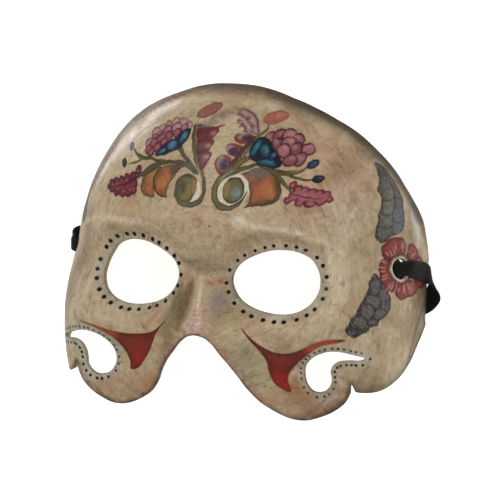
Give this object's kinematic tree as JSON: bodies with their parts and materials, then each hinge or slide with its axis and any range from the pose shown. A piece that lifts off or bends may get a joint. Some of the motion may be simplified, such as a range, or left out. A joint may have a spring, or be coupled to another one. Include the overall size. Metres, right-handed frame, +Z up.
{
  "type": "day of the dead mask",
  "caption": "Painted papier-mache skull half mask with domed forehead, open eye holes, notched nose, comma-cut cheeks and an elastic band.",
  "frame": {"origin": "under the middle of the mask's shell, on the surface it lies on", "axes": "+Z up, out of the face; +Y to the top of the forehead; +X to the right of someone who faces the mask"},
  "size_m": [0.1857, 0.148, 0.0713],
  "materials": {
    "painted_paper": "aged cream ground with painted flowers under a thin glossy varnish",
    "elastic": "matte ribbed black elastic"
  },
  "bodies": {
    "root": {"mask_shell": "painted_paper", "elastic_band": "elastic"}
  },
  "joints": []
}
